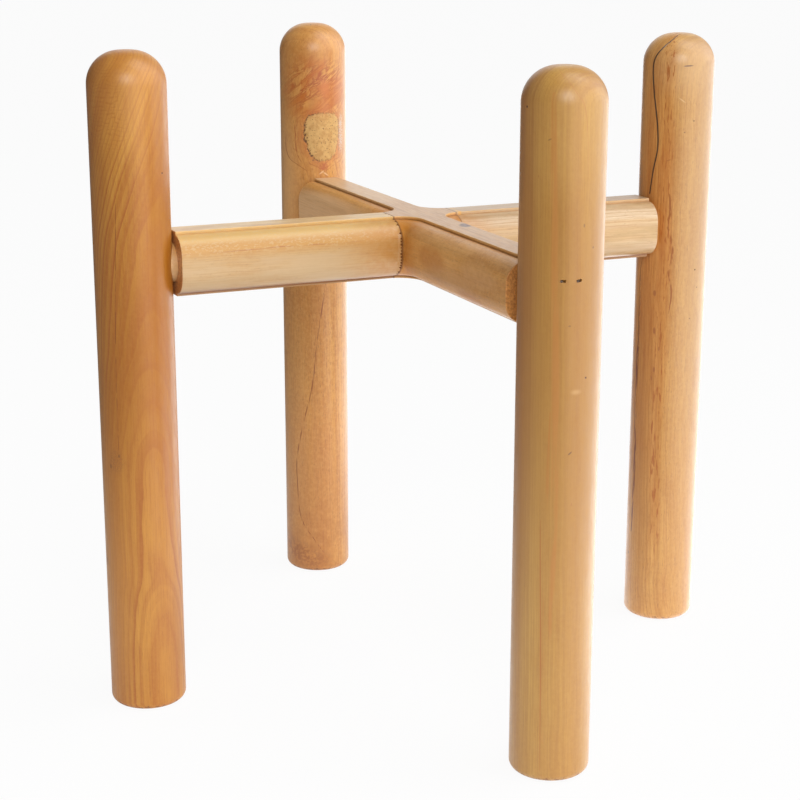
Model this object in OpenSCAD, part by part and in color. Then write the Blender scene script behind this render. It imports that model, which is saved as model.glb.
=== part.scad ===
// Wooden plant stand: four round legs carried by a routed cross.
// A flat-bottomed pot sits on the cross, between the upper ends of the legs.
// Millimetres, +Z up, origin on the floor under the middle of the cross.

/* [Legs] */
// Diameter of each turned leg
leg_d = 38; // [34:1:44]
// Height of each leg, from the floor to its crown
leg_h = 330; // [290:5:400]
// Radius of the arc that rounds the crown over
crown_r = 16; // [8:1:16]
// Radius that eases the edge of the foot
foot_r = 4; // [1:0.5:5]
// Distance between the centre lines of two opposite legs
leg_span = 305; // [260:5:360]

/* [Cross] */
// Height of the cross's top face above the floor
cross_top = 243; // [120:1:260]
// Width of the cross's arms over their sides
rail_w = 34; // [30:1:38]
// Height of the cross's arms
rail_h = 32; // [30:1:38]
// Radius of the roundover along every long edge
roundover_r = 10; // [6:0.5:11]
// Height of the square step between the flat and the roundover
quirk_h = 1.6; // [0.8:0.2:2.4]
// Radius that the cutter leaves low down in the four inner corners
corner_r = 3; // [2:0.5:8]
// Stand-out of the hub past the through rail's sides, where the arms butt
hub_land = 0.5; // [0.1:0.1:1.5]

/* [Mortise and tenon] */
// Diameter of the round tenon at each end of the cross
tenon_d = 20; // [18:1:24]
// Length of each tenon from its flat shoulder
tenon_l = 24; // [18:1:28]
// Bevel around the tenon's end
tenon_bevel = 1.5; // [0.5:0.5:3]
// Gap between the flat shoulder and the round leg at their nearest line
shoulder_gap = 0.5; // [0.1:0.1:0.9]
// Spare depth of the mortise beyond the tenon's end
mortise_spare = 0.8; // [0.2:0.2:2]
// Room for glue around tenons and dowels, on the radius
glue_fit = 0.1; // [0.05:0.05:0.3]

/* [Hub dowels] */
// Diameter of the dowels that tie the arms to the through rail
dowel_d = 8; // [6:1:9]
// Length of each dowel
dowel_l = 80; // [64:2:100]
// Distance between the two dowels, one above the other
dowel_pitch = 14; // [12:1:15]
// Bevel around each end of a dowel
dowel_bevel = 1; // [0.5:0.5:2]
// Spare depth of the arms' bores beyond each end of a dowel
dowel_spare = 0.8; // [0.2:0.2:2]

/* [Brads] */
// Length of each brad
brad_l = 30; // [24:1:32]
// Width of the shank
brad_w = 1.2; // [0.8:0.1:1.6]
// Thickness of the shank and the head
brad_t = 1; // [0.8:0.1:1.4]
// Width of the head
brad_head_w = 2.4; // [1.8:0.2:3]
// Thickness of the head along the shank
brad_head_h = 0.8; // [0.4:0.1:1.2]
// Length of the chisel point
brad_point = 1.6; // [0.8:0.2:2.4]
// Depth of the head below the leg's surface
brad_set = 1.2; // [0.5:0.1:2]
// Distance between the two brads in a leg
brad_pitch = 7; // [6:0.5:8]
// Offset of the pair from the leg's centre line
brad_offset = 4.5; // [3:0.5:5]
// Height of the heads above the cross's mid-height
brad_rise = 12; // [4:0.5:13]
// Downward slant, in degrees, that takes the points into the tenon
brad_slant = 20; // [14:1:24]
// Room around a brad in the wood
brad_fit = 0.05; // [0.02:0.01:0.1]

/* [Hidden] */
$fn = 96;
leg_r = leg_d / 2;
flat_w = rail_w - 2 * roundover_r;
edge_h = quirk_h + roundover_r;
cross_mid = cross_top - rail_h / 2;
hub_half = rail_w / 2 + corner_r;
seam = rail_w / 2 + hub_land;
shoulder = leg_span / 2 - leg_r - shoulder_gap;
mortise_d = tenon_d + 2 * glue_fit;
dowel_bore_d = dowel_d + 2 * glue_fit;
// Clear travel that a cutting shape has beyond the face it opens
cut = 1;
// Turn of each leg round the middle; its outer side faces local +X
RIGHT = 0;
BACK = 90;
LEFT = 180;
FRONT = 270;

// Puts a shape drawn round a leg's own axis where that leg stands
module at_leg(turn) {
    rotate([0, 0, turn])
        translate([leg_span / 2, 0, 0])
            children();
}

// Lays a shape drawn along +Z down along +X
module along_x() {
    rotate([0, 90, 0])
        children();
}

// Quarter disc in the first quadrant
module quarter_disc(r) {
    intersection() {
        circle(r = r);
        square(r);
    }
}

// Half of the leg's outline: eased foot, straight side and rounded crown
module leg_outline() {
    square([leg_r - foot_r, leg_h / 2]);
    translate([leg_r - foot_r, foot_r])
        mirror([0, 1])
            quarter_disc(foot_r);
    translate([0, foot_r])
        square([leg_r, leg_h - foot_r - crown_r]);
    square([leg_r - crown_r, leg_h]);
    translate([leg_r - crown_r, leg_h - crown_r])
        quarter_disc(crown_r);
}

// Flat side view of a brad: head at the origin, shank along -X, chisel point
module brad_outline(room) {
    half_w = brad_w / 2 + room;
    half_head = brad_head_w / 2 + room;
    translate([-brad_head_h - room, -half_head])
        square([brad_head_h + room, 2 * half_head]);
    polygon([
        [0, half_w],
        [-brad_l + brad_point, half_w],
        [-brad_l - room, 0],
        [-brad_l + brad_point, -half_w],
        [0, -half_w]
    ]);
}

// Places a shape, with its origin at a sunk head and its shank along -X, at
// the two brads of a leg, driven slantwise into its outer side
module at_brads() {
    for (side = [-1, 1]) {
        y = -brad_offset + side * brad_pitch / 2;
        skin = sqrt(pow(leg_r, 2) - pow(y, 2));
        translate([skin, y, cross_mid + brad_rise])
            rotate([0, -brad_slant, 0])
                translate([-brad_set, 0, 0])
                    children();
    }
}

// The pair of brads, with some room around them when they are used to cut
// their own places
module brad_pair(room = 0) {
    at_brads()
        linear_extrude(brad_t + 2 * room, center = true)
            brad_outline(room);
}

// The slots that the sunk heads leave open at the leg's surface
module brad_mouths() {
    at_brads()
        translate([(brad_set + cut) / 2, 0, 0])
            cube([brad_set + cut, brad_head_w + 2 * brad_fit, brad_t + 2 * brad_fit],
                 center = true);
}

// One leg about its own axis, with its mortise on the inner side
module leg() {
    difference() {
        rotate_extrude()
            leg_outline();
        translate([-leg_r - cut, 0, cross_mid])
            along_x()
                cylinder(d = mortise_d,
                         h = cut + tenon_l - shoulder_gap + mortise_spare);
        brad_pair(brad_fit);
        brad_mouths();
    }
}

// Section of a rail: a flat with a quirk and a roundover at each corner
module rail_section() {
    square([rail_w, rail_h - 2 * edge_h], center = true);
    square([flat_w, rail_h], center = true);
    for (x = [-1, 1], y = [-1, 1])
        translate([x * flat_w / 2, y * (rail_h / 2 - edge_h)])
            circle(r = roundover_r);
}

// Space swept by the profile cutter as it stands in an inner corner
module corner_sweep() {
    rotate_extrude()
        difference() {
            translate([0, -rail_h / 2 - cut])
                square([hub_half, rail_h + 2 * cut]);
            translate([hub_half, 0])
                rail_section();
        }
}

// Middle of the cross, routed in one pass after glue-up, so that the flats
// flow from arm to arm and the roundovers dive into the inner corners
module hub() {
    difference() {
        cube([2 * hub_half, 2 * hub_half, rail_h], center = true);
        for (x = [-1, 1], y = [-1, 1])
            translate([x * hub_half, y * hub_half, 0])
                corner_sweep();
    }
}

// Straight stretch of a rail from the hub to its shoulder, and its tenon
module rail_end() {
    translate([hub_half, 0, 0])
        rotate([90, 0, 90])
            linear_extrude(shoulder - hub_half)
                rail_section();
    translate([shoulder, 0, 0])
        along_x() {
            cylinder(d = tenon_d, h = tenon_l - tenon_bevel);
            translate([0, 0, tenon_l - tenon_bevel])
                cylinder(d1 = tenon_d, d2 = tenon_d - 2 * tenon_bevel, h = tenon_bevel);
        }
}

// One rod of the hub's doweling, or the bore for it
module dowel_rod(d, l, bevel) {
    along_x() {
        cylinder(d = d, h = l - 2 * bevel, center = true);
        for (end = [0, 1])
            mirror([0, 0, end])
                translate([0, 0, l / 2 - bevel])
                    cylinder(d1 = d, d2 = d - 2 * bevel, h = bevel);
    }
}

// Places a shape at the two heights of the dowels
module at_dowels() {
    for (side = [-1, 1])
        translate([0, 0, side * dowel_pitch / 2])
            children();
}

// Bores through the hub and into both arms
module dowel_bores() {
    at_dowels()
        along_x()
            cylinder(d = dowel_bore_d, h = dowel_l + 2 * dowel_spare, center = true);
}

// The rail from front to back in one length, whose sides take the arms
module through_rail_body() {
    translate([0, 0, cross_mid])
        difference() {
            union() {
                intersection() {
                    hub();
                    cube([2 * seam, 2 * hub_half, rail_h], center = true);
                }
                for (turn = [BACK, FRONT])
                    rotate([0, 0, turn])
                        rail_end();
            }
            dowel_bores();
        }
}

// One arm along +X, butted against the through rail at the seam
module arm_body() {
    translate([0, 0, cross_mid])
        difference() {
            union() {
                intersection() {
                    hub();
                    translate([seam, -hub_half, -rail_h / 2])
                        cube([hub_half - seam, 2 * hub_half, rail_h]);
                }
                rail_end();
            }
            dowel_bores();
        }
}

module leg_left() {
    color("#c98f54")
        at_leg(LEFT)
            leg();
}

module leg_right() {
    color("#bf8143")
        at_leg(RIGHT)
            leg();
}

module leg_front() {
    color("#d3a869")
        at_leg(FRONT)
            leg();
}

module leg_back() {
    color("#cb8d55")
        at_leg(BACK)
            leg();
}

module through_rail() {
    color("#b98a56")
        difference() {
            through_rail_body();
            for (turn = [BACK, FRONT])
                at_leg(turn)
                    brad_pair(brad_fit);
        }
}

module arm_left() {
    color("#d9b27c")
        difference() {
            rotate([0, 0, LEFT])
                arm_body();
            at_leg(LEFT)
                brad_pair(brad_fit);
        }
}

module arm_right() {
    color("#e3c08d")
        difference() {
            arm_body();
            at_leg(RIGHT)
                brad_pair(brad_fit);
        }
}

module hub_dowels() {
    color("#e6cfa5")
        translate([0, 0, cross_mid])
            at_dowels()
                dowel_rod(dowel_d, dowel_l, dowel_bevel);
}

module brads() {
    color("#8f8f94")
        for (turn = [RIGHT, BACK, LEFT, FRONT])
            at_leg(turn)
                brad_pair();
}

leg_left();
leg_right();
leg_front();
leg_back();
through_rail();
arm_left();
arm_right();
hub_dowels();
brads();
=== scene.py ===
import math

import bmesh
import bpy
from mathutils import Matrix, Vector, noise as mathNoise


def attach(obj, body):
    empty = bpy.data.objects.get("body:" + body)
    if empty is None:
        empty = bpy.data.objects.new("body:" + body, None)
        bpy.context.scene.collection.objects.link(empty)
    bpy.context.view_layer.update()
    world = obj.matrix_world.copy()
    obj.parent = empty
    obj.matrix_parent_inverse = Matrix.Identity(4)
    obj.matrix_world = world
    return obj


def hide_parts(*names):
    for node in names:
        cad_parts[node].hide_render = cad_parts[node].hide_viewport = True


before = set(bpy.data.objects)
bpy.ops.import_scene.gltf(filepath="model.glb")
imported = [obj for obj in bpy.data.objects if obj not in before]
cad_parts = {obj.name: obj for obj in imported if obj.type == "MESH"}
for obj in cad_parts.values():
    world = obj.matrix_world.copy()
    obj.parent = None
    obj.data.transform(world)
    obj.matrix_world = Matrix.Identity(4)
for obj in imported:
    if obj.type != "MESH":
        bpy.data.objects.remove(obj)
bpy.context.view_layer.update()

mm = 0.001
slack = 0.00001  # metres, for picking faces and edges by their place
selectModes = {"verts": "VERT", "edges": "EDGE", "faces": "FACE"}


# modelling helpers: the same moves as by hand

def pickNone():
    bpy.ops.object.select_all(action="DESELECT")


def pickOnly(piece):
    pickNone()
    piece.select_set(True)
    bpy.context.view_layer.objects.active = piece


def openEdit(piece):
    pickOnly(piece)
    bpy.ops.object.mode_set(mode="EDIT")
    bpy.ops.mesh.select_all(action="DESELECT")


def closeEdit():
    bpy.ops.object.mode_set(mode="OBJECT")


def choose(piece, part, rule):
    # select the corners, edges or faces that the rule picks
    bpy.ops.mesh.select_mode(type=selectModes[part])
    bpy.ops.mesh.select_all(action="DESELECT")
    shape = bmesh.from_edit_mesh(piece.data)
    for element in getattr(shape, part):
        if rule(element):
            element.select_set(True)
    shape.select_flush_mode()
    bmesh.update_edit_mesh(piece.data)


def liesAt(edge, axis, place):
    return all(abs(vert.co[axis] - place) < slack for vert in edge.verts)


def cutWith(piece, tool, action="DIFFERENCE"):
    pickOnly(piece)
    fit = piece.modifiers.new("fit", "BOOLEAN")
    fit.operation = action
    fit.solver = "EXACT"
    fit.object = tool
    bpy.ops.object.modifier_apply(modifier=fit.name)
    bpy.data.objects.remove(tool, do_unlink=True)


def cutTogether(piece, tools):
    pickNone()
    for tool in tools:
        tool.select_set(True)
    bpy.context.view_layer.objects.active = tools[0]
    bpy.ops.object.join()
    cutWith(piece, tools[0])


def roundTool(radius, length, middle, along, sides=64):
    turns = {"x": (0, math.pi / 2, 0), "y": (math.pi / 2, 0, 0), "z": (0, 0, 0)}
    pickNone()
    bpy.ops.mesh.primitive_cylinder_add(vertices=sides, radius=radius * mm, depth=length * mm,
                                        location=Vector(middle) * mm, rotation=turns[along])
    return bpy.context.object


def boxTool(size, middle, outward, slant=0.0, roll=0.0):
    # size is along outward, across it and up
    pickNone()
    bpy.ops.mesh.primitive_cube_add(size=1, location=Vector(middle) * mm)
    tool = bpy.context.object
    tool.scale = Vector(size) * mm
    heading = math.atan2(outward[1], outward[0])
    tool.rotation_euler = (math.radians(roll), -math.radians(slant), heading)
    return tool


def pitTool(place, radius, stretch):
    # a small ball for a pit or a chip
    pickNone()
    bpy.ops.mesh.primitive_ico_sphere_add(subdivisions=2, radius=radius * mm, location=place * mm)
    bpy.context.object.scale = stretch
    return bpy.context.object


def wireTool(line, radii, closed):
    # a thin round tube along a line of points in mm, one radius for each point
    shape = bpy.data.curves.new("wire", "CURVE")
    shape.dimensions = "3D"
    shape.bevel_depth = mm
    shape.bevel_resolution = 1
    shape.use_fill_caps = True
    path = shape.splines.new("POLY")
    path.points.add(len(line) - 1)
    for spot, place, radius in zip(path.points, line, radii):
        spot.co = (place.x * mm, place.y * mm, place.z * mm, 1)
        spot.radius = radius
    path.use_cyclic_u = closed
    wire = bpy.data.objects.new("wire", shape)
    bpy.context.scene.collection.objects.link(wire)
    pickOnly(wire)
    bpy.ops.object.convert(target="MESH")
    return bpy.context.object


def finish(piece, node, material, smoothAngle):
    pickOnly(piece)
    bpy.ops.object.transform_apply(location=True, rotation=True, scale=True)
    bpy.ops.object.shade_smooth_by_angle(angle=math.radians(smoothAngle))
    piece.data.materials.clear()
    piece.data.materials.append(material)
    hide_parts(node)
    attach(piece, "root")


# node helpers: new nodes go into the open tree, and patterns are worked out in millimetres

bench = {}  # holds the open tree
white = (1.0, 1.0, 1.0, 1.0)


def openTree(owner):
    # the material or world that the next nodes belong to
    owner.use_nodes = True
    bench["tree"] = owner.node_tree
    bench["tree"].nodes.clear()
    return owner


def tone(red, green, blue):
    def linear(level):
        level = level / 255
        return level / 12.92 if level <= 0.04045 else ((level + 0.055) / 1.055) ** 2.4
    return (linear(red), linear(green), linear(blue), 1.0)


def addNode(kind, inputs=None, **choices):
    node = bench["tree"].nodes.new("ShaderNode" + kind)
    for word, value in choices.items():
        setattr(node, word, value)
    for key, value in (inputs or {}).items():
        if isinstance(value, bpy.types.NodeSocket):
            bench["tree"].links.new(value, node.inputs[key])
        else:
            node.inputs[key].default_value = value
    return node


def calc(operation, *values):
    return addNode("Math", dict(enumerate(values)), operation=operation).outputs[0]


def times(first, *others):
    for other in others:
        first = calc("MULTIPLY", first, other)
    return first


def plus(first, second):
    return calc("ADD", first, second)


def minus(first, second):
    return calc("SUBTRACT", first, second)


def apart(first, second):
    return calc("ABSOLUTE", minus(first, second))


def vecCalc(operation, *values):
    node = addNode("VectorMath", dict(enumerate(values)), operation=operation)
    return node.outputs[1 if operation in ("LENGTH", "DISTANCE", "DOT_PRODUCT") else 0]


def pair(first, second):
    return addNode("CombineXYZ", {0: first, 1: second}).outputs[0]


def centred(place, middle, half, tilt=0.0):
    # place seen from a pattern's middle, with 1 at its rim
    return addNode("Mapping", {"Vector": place, "Location": middle, "Rotation": (0, 0, math.radians(tilt)),
                               "Scale": half}, vector_type="TEXTURE").outputs[0]


def remap(value, low, high, toLow=0.0, toHigh=1.0, soft=True):
    return addNode("MapRange", {0: value, 1: low, 2: high, 3: toLow, 4: toHigh},
                   interpolation_type="SMOOTHSTEP" if soft else "LINEAR").outputs[0]


def blendTone(amount, under, over):
    return addNode("Mix", {0: amount, 6: under, 7: over}, data_type="RGBA").outputs[2]


def noise(place, scale, detail=2.0, rough=0.5, stretch=(1, 1, 1), swirl=0.0):
    return addNode("TexNoise", {"Vector": vecCalc("MULTIPLY", place, stretch), "Scale": scale,
                                "Detail": detail, "Roughness": rough, "Distortion": swirl}).outputs[0]


def lineNoise(value, scale, detail=1.0):
    return addNode("TexNoise", {"W": value, "Scale": scale, "Detail": detail},
                   noise_dimensions="1D").outputs[0]


def swing(level, amount):
    # noise made to swing round 0
    return times(minus(level, 0.5), amount)


def stray(place, scale, detail, reach):
    # a shift that wanders across the wood, never along it
    shift = addNode("TexNoise", {"Vector": place, "Scale": scale, "Detail": detail}).outputs[1]
    return vecCalc("MULTIPLY", vecCalc("SUBTRACT", shift, (0.5, 0.5, 0.5)), (reach, reach, 0))


def follow(value, points):
    # a value read from a smooth curve through (height, amount) points
    places, amounts = zip(*sorted(points))
    least, most = min(amounts), max(amounts)
    if most == least:
        return least
    share = remap(value, places[0], places[-1], soft=False)
    node = addNode("FloatCurve", {1: share})
    curve = node.mapping.curves[0]
    while len(curve.points) < len(points):
        curve.points.new(0.5, 0.5)
    for spot, place, amount in zip(curve.points, places, amounts):
        spot.location = ((place - places[0]) / (places[-1] - places[0]), (amount - least) / (most - least))
    node.mapping.update()
    return remap(node.outputs[0], 0.0, 1.0, least, most, soft=False)


def patch(place, middle, half, tilt=0.0, edge=0.35):
    # 1 inside an oval on the skin, 0 outside; middle and half are (across, up) in mm
    far = vecCalc("LENGTH", centred(place, (*middle, 0), (*half, 1), tilt))
    return remap(far, 1.0 + edge, 1.0 - edge)


def streak(across, height, line, width):
    # 1 along a wandering line on the skin; line and width are curves by height
    off = apart(across, follow(height, line))
    half = calc("MAXIMUM", follow(height, width), 0.0001)
    low, high = min(point[0] for point in line), max(point[0] for point in line)
    inside = times(remap(height, low - 0.5, low + 0.5), remap(height, high + 0.5, high - 0.5))
    return times(remap(off, half, times(half, 0.35)), inside)


def paint(kit, mask, shade, *weights):
    # lay a tone over the wood where the mask lets it show
    kit["colour"] = blendTone(times(mask, *weights), kit["colour"], shade)


def carve(kit, mask, depth):
    kit["relief"] = minus(kit["relief"], times(mask, depth))


# lights, backdrop and camera

studio = {
    "brightLevels": (0.10, 1.34), "brightWay": (0.86, -0.5, 0.1), "brightSpan": (0.1, 0.9),
    "behindLevels": (0.0, 0.6), "behindWay": (-0.4, 0.9, 0.1), "behindSpan": (0.2, 1.0),
    "sheenLevels": (0.04, 3.8), "sheenWay": (0.8, -0.6, 0.0), "sheenSpan": (0.15, 0.95),
    "glazeLevels": (0.0, 1.1), "glazeWay": (0.35, 0.88, 0.3), "glazeSpan": (0.8, 1.0),
    "floorSheen": 2.6, "floorSheenSpan": (-0.1, 0.35), "floorSheenWay": (1.0, -0.2, 0.0),
    "topPower": 4.2, "topSpot": (0.32, -0.25, 1.3), "topSize": 0.7,
    "fillPower": 18.2, "fillSpot": (-0.55, -1.7, 1.1), "fillSize": 0.9,
    "floorNear": 0.88, "floorFar": 0.30, "floorFade": (0.25, 0.8), "floorGlow": 0.30,
    "floorMiddle": (0.06, -0.13, 0.0),
    "floorWhite": 0.93, "floorSeen": 0.9, "floorReach": 14.0, "floorDrop": 0.00005,
    "lampAim": (0, 0, 0.17),
}


def placeLamp(word):
    lamp = bpy.data.lights.new(word + "Light", "AREA")
    lamp.energy, lamp.size = studio[word + "Power"], studio[word + "Size"]
    lampObject = bpy.data.objects.new(word + "Light", lamp)
    bpy.context.scene.collection.objects.link(lampObject)
    lampObject.location = studio[word + "Spot"]
    aim = Vector(studio["lampAim"]) - Vector(studio[word + "Spot"])
    lampObject.rotation_euler = aim.to_track_quat("-Z", "Y").to_euler()


def buildWorld():
    # light by its direction: one pattern for matt surfaces, another for their sheen, white for the camera
    bpy.context.scene.world = openTree(bpy.data.worlds.new("studio"))
    rays = addNode("LightPath")
    seen = calc("MAXIMUM", rays.outputs["Is Camera Ray"], rays.outputs["Is Transmission Ray"])
    levels = []
    for word in ("bright", "behind", "sheen", "glaze"):
        way = vecCalc("DOT_PRODUCT", addNode("TexCoord").outputs["Generated"], studio[word + "Way"])
        levels.append(remap(way, *studio[word + "Span"], *studio[word + "Levels"]))
    matt, glossy = plus(levels[0], levels[1]), plus(levels[2], levels[3])
    lit = addNode("Mix", {0: rays.outputs["Is Glossy Ray"], 2: matt, 3: glossy}).outputs[0]
    level = addNode("Mix", {0: seen, 2: lit, 3: 1.0}).outputs[0]
    air = addNode("Background", {"Color": white, "Strength": level})
    addNode("OutputWorld", {0: air.outputs[0]})


def layFloor():
    # pale paper that keeps the shadow, looks white to the camera and glows faintly under the stand
    pickNone()
    bpy.ops.mesh.primitive_plane_add(size=2 * studio["floorReach"], location=(0, 0, -studio["floorDrop"]))
    floor = bpy.context.object
    floor.name = "floor"
    paper = openTree(bpy.data.materials.new("floorPaper"))
    rays = addNode("LightPath")
    camera, glossy = rays.outputs["Is Camera Ray"], rays.outputs["Is Glossy Ray"]
    spot = addNode("TexCoord").outputs["Object"]
    away = vecCalc("DISTANCE", spot, studio["floorMiddle"])
    level = remap(away, *studio["floorFade"], studio["floorNear"], studio["floorFar"])
    level = calc("MAXIMUM", level, times(camera, studio["floorSeen"]))
    grey = addNode("CombineColor", {0: level, 1: level, 2: level}).outputs[0]
    mixed = addNode("MixShader", {
        0: times(camera, studio["floorWhite"]), 1: addNode("BsdfDiffuse", {"Color": grey}).outputs[0],
        2: addNode("Emission", {"Color": white, "Strength": 1.0}).outputs[0]})
    glow = times(minus(1.0, camera), remap(away, *studio["floorFade"], studio["floorGlow"], 0.0))
    sideways = vecCalc("DOT_PRODUCT", spot, studio["floorSheenWay"])
    sheen = times(glossy, remap(sideways, *studio["floorSheenSpan"], 0.0, studio["floorSheen"]))
    glow = addNode("Emission", {"Color": white, "Strength": plus(glow, sheen)})
    both = addNode("AddShader", {0: mixed.outputs[0], 1: glow.outputs[0]})
    addNode("OutputMaterial", {0: both.outputs[0]})
    floor.data.materials.append(paper)


viewpoint = {
    "spot": (-0.38375, -0.85432, 0.39726), "turn": (74.78, -0.07, -23.56), "lens": 82.34, "sensor": 36.0,
}


def placeCamera():
    lens = bpy.data.cameras.new("viewCamera")
    lens.lens = viewpoint["lens"]
    lens.sensor_width = viewpoint["sensor"]
    camera = bpy.data.objects.new("viewCamera", lens)
    camera.location = viewpoint["spot"]
    camera.rotation_euler = [math.radians(angle) for angle in viewpoint["turn"]]
    bpy.context.scene.collection.objects.link(camera)
    bpy.context.scene.camera = camera


bpy.context.scene.view_settings.view_transform = "Standard"
buildWorld()
placeLamp("top")
placeLamp("fill")
layFloor()
placeCamera()
print("studio and camera stand")


# wood

plainWood = {
    "middle": (0, 0, 0), "turn": (0, 0, 0), "round": 19.0,  # round: the stick's radius, 0 for a flat side
    "pith": [(0, 30)], "twist": [(0, 0)], "gap": 2.0, "uneven": 0.9, "faintest": 0.25,
    "wobble": 1.2, "wobbleLength": 40.0, "waver": 0.0, "waverScale": 0.05,
    "lateSpan": (0.3, 0.88), "lineFade": [(0, 1.0)],
    "pale": tone(222, 178, 122), "warm": tone(210, 156, 96), "deep": tone(196, 136, 78),
    "line": tone(176, 108, 56), "dark": tone(140, 84, 44), "light": tone(232, 196, 146),
    "lineWeight": 0.5, "fine": 0.14, "cloud": 0.35, "fibre": 0.25, "fleck": 0.14, "mottle": 0.14,
    "pores": 0.3,
    "rough": 0.42, "coat": 0.35, "knots": [], "shades": [], "marks": [], "streaks": [], "extras": [],
}
grain = {  # noise scale, detail, roughness and stretch of each layer, and the levels between which it shows
    "cloud": ((0.09, 2.0, 0.5, (1, 1, 0.35)), (0.35, 0.7)),
    "fibre": ((1.35, 3.0, 0.62, (1, 1, 0.035)), (0.44, 0.66)),
    "fleck": ((1.1, 2.0, 0.6, (1, 1, 0.07)), (0.60, 0.75)),
    "mottle": ((0.5, 3.0, 0.6), (0.35, 0.7)),
    "pores": ((2.4, 2.0, 0.6, (1, 1, 0.14)), (0.58, 0.72)),
}
varnish = {"ior": 1.48, "coatRoughness": 0.32, "bump": 0.35, "bumpDistance": 0.0001}


def stamp(kit, mark):
    # one oval mark, spot or shade on the skin
    mask = patch(kit["skin"], mark["at"], mark["half"], mark.get("tilt", 0), mark.get("edge", 0.35))
    if mark.get("ragged"):
        mask = times(mask, remap(noise(kit["place"], mark["ragged"], 2.0, 0.6), 0.35, 0.6))
    mask = times(mask, mark["weight"])
    paint(kit, mask, mark["tone"])
    if mark.get("deep"):
        carve(kit, mask, mark["deep"])


def woodSkin(name, look):
    # growth rings round a pith line beside the stick, fibres, flecks, marks and varnish
    material = openTree(bpy.data.materials.new(name))
    raw = addNode("TexCoord").outputs["Object"]
    straight = addNode("Mapping", {
        "Vector": raw, "Location": Vector(look["middle"]) * mm,
        "Rotation": [math.radians(angle) for angle in look["turn"]],
        "Scale": (mm, mm, mm)}, vector_type="TEXTURE").outputs[0]
    x, y, along = addNode("SeparateXYZ", {0: straight}).outputs
    place = straight
    if look["waver"]:
        long = vecCalc("MULTIPLY", place, (0.35, 0.35, 1))
        place = vecCalc("ADD", place, stray(long, look["waverScale"], 1.5, look["waver"]))

    # skin coordinates: across in mm round the stick, and height along it
    across = times(calc("ARCTAN2", y, x), look["round"]) if look["round"] else y
    skin = pair(across, along)

    # growth rings
    twist = times(follow(along, look["twist"]), -math.pi / 180)
    twisted = addNode("VectorRotate", {"Vector": place, "Angle": twist}, rotation_type="Z_AXIS").outputs[0]
    turned = addNode("SeparateXYZ", {0: twisted}).outputs
    rings = vecCalc("LENGTH", pair(plus(turned[0], follow(along, look["pith"])), turned[1]))
    bend = noise(place, 1.0 / look["wobbleLength"], 2.0, 0.5, (2.2, 2.2, 1.0))
    rings = plus(rings, swing(bend, look["wobble"]))
    for knot in look["knots"]:
        rings = plus(rings, times(patch(skin, knot["at"], knot["half"], 0, 0.95), knot["push"]))
    count = calc("DIVIDE", rings, look["gap"])
    count = plus(count, times(lineNoise(count, 0.37), look["uneven"]))
    phase = calc("FRACT", count)
    number = addNode("TexWhiteNoise", {"W": calc("FLOOR", count)}, noise_dimensions="1D").outputs[0]
    fading = remap(noise(place, 0.045, 2.0, 0.5, (1, 1, 0.25)), 0.36, 0.6, 0.6, 1.0)
    late = times(remap(phase, *look["lateSpan"]), remap(phase, 1.0, 0.9),
                 remap(number, 0.25, 1.0, look["faintest"], 1.0), fading, follow(along, look["lineFade"]))

    # tones
    level = {word: noise(place, *settings) for word, (settings, span) in grain.items()}
    kit = {"raw": raw, "place": straight, "skin": skin, "across": across, "along": along,
           "fibre": level["fibre"], "coat": look["coat"],
           "colour": blendTone(remap(lineNoise(count, 0.21, 2.0), 0.35, 0.65), look["pale"], look["warm"])}
    mask = {word: remap(level[word], *span) for word, (settings, span) in grain.items()}
    mask.update(lineWeight=late, fine=remap(lineNoise(count, 2.3, 2.0), 0.45, 0.68))
    for word, shade in (("cloud", "deep"), ("lineWeight", "line"), ("fine", "line"), ("fibre", "line"),
                        ("fleck", "dark"), ("mottle", "light"), ("pores", "dark")):
        paint(kit, mask[word], look[shade], look[word])

    shine = noise(place, 0.7, 2.0, 0.5, (1, 1, 0.2))
    kit["rough"] = remap(shine, 0.3, 0.7, look["rough"] - 0.05, look["rough"] + 0.07)
    kit["relief"] = plus(times(level["fibre"], 0.35), times(late, -0.25))
    kit["relief"] = plus(kit["relief"], times(noise(place, 0.11, 1.0), 3.5))
    kit["relief"] = plus(kit["relief"], times(noise(place, 0.6, 3.0, 0.6, (1, 1, 0.5)), 0.55))

    for mark in look["shades"]:
        stamp(kit, mark)
    for extra in look["extras"]:
        extra(kit, look)
    for line in look["streaks"]:
        shown = streak(across, along, line["line"], line["width"])
        if line.get("ragged"):
            broken = noise(place, line["ragged"], 2.0, 0.6, (1, 1, line.get("run", 0.25)))
            shown = times(shown, remap(broken, 0.38, 0.58))
        paint(kit, shown, line["tone"], line["weight"])
    for mark in look["marks"]:
        stamp(kit, mark)

    bump = addNode("Bump", {"Strength": varnish["bump"], "Distance": varnish["bumpDistance"],
                            "Height": kit["relief"]})
    shader = addNode("BsdfPrincipled", {
        "Base Color": kit["colour"], "Roughness": kit["rough"], "Normal": bump.outputs[0],
        "IOR": varnish["ior"], "Coat Weight": kit["coat"], "Coat Roughness": varnish["coatRoughness"]})
    addNode("OutputMaterial", {0: shader.outputs[0]})
    return material


# legs

legPlan = {
    "radius": 19.0, "height": 330.0, "crown": 16.0, "foot": 4.0,
    "sides": 112, "crownSteps": 18, "footSteps": 8, "rings": 40, "discInset": 1.2,
    "span": 152.5, "boreHeight": 227.0, "boreRadius": 10.1, "boreEnd": 5.3,
    "bradSides": (-1.0, -8.0), "bradHeight": 239.0, "bradSlant": 20.0, "bradRoll": (9, -12),
    "mouth": (2.4, 2.5, 1.2), "shank": (31.3, 1.3, 1.1), "smoothAngle": 30,
    "crackTip": 0.6, "crackTaper": 4.0, "crackLevel": 0.85, "crackSwell": 0.3, "crackGrain": 0.3,
}


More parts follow.
